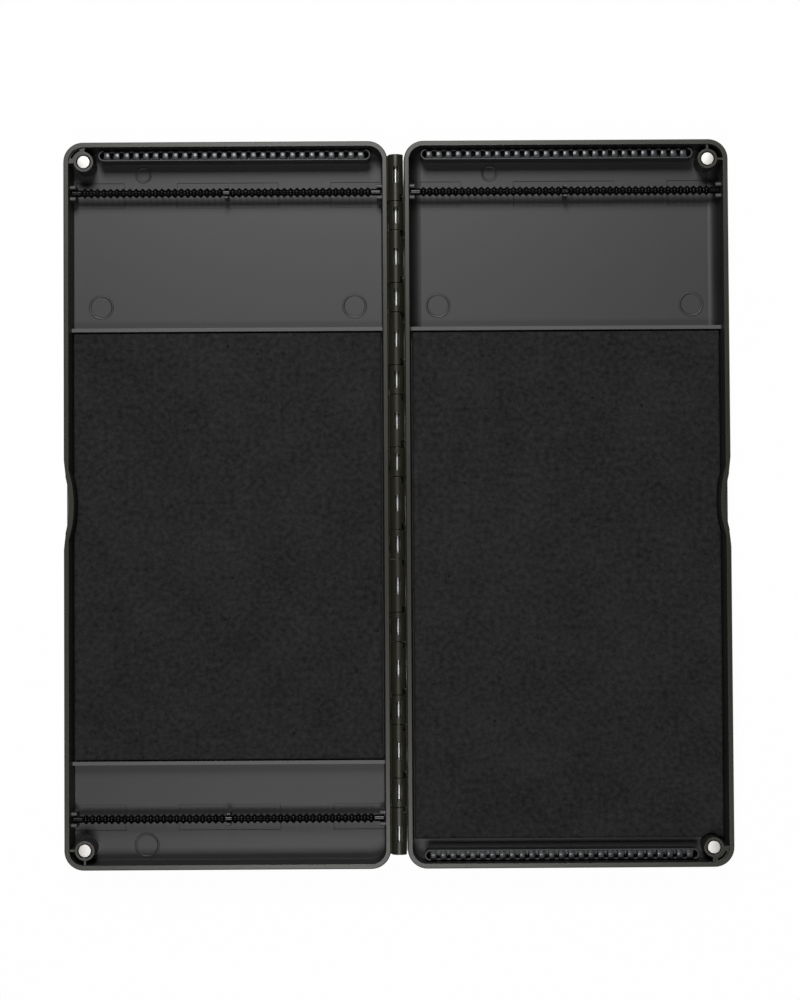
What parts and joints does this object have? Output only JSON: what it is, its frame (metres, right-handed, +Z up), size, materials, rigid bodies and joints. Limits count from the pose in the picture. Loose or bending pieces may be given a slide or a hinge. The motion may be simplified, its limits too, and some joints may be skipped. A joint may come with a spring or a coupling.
{
  "type": "fishing rig box",
  "caption": "Hinged fishing rig box with two shallow trays that fold shut, foam boards, ribbed hook rails, line combs and corner magnets.",
  "frame": {"origin": "middle of the footprint at the base, with the box open flat on a surface", "axes": "+Y along the hinge towards the comb ends that both trays have, +X across to the right tray, +Z up out of the trays"},
  "size_m": [0.339, 0.37, 0.0224],
  "materials": {
    "shell_plastic": "satin moulded, fine grain",
    "foam": "closed-cell foam, matt",
    "adhesive": "thin sheet",
    "rail_plastic": "glossy black",
    "comb_plastic": "glossy dark grey",
    "magnet_nickel": "nickel plated",
    "pin_steel": "drawn steel"
  },
  "bodies": {
    "left_tray": {"left_shell": "shell_plastic", "left_foam_board": "foam", "left_foam_adhesive": "adhesive", "left_top_hook_rail": "rail_plastic", "left_bottom_hook_rail": "rail_plastic", "left_top_comb_strip": "comb_plastic", "left_top_magnet": "magnet_nickel", "left_bottom_magnet": "magnet_nickel", "hinge_pin": "pin_steel"},
    "right_tray": {"right_shell": "shell_plastic", "right_foam_board": "foam", "right_foam_adhesive": "adhesive", "right_top_hook_rail": "rail_plastic", "right_top_comb_strip": "comb_plastic", "right_bottom_comb_strip": "comb_plastic", "right_top_magnet": "magnet_nickel", "right_bottom_magnet": "magnet_nickel"}
  },
  "joints": [
    {"name": "hinge", "type": "hinge", "parent": "left_tray", "child": "right_tray", "pos_m": [0, 0, 0.01865], "axis": [0, -1, 0], "range_deg": [0, 180]}
  ]
}
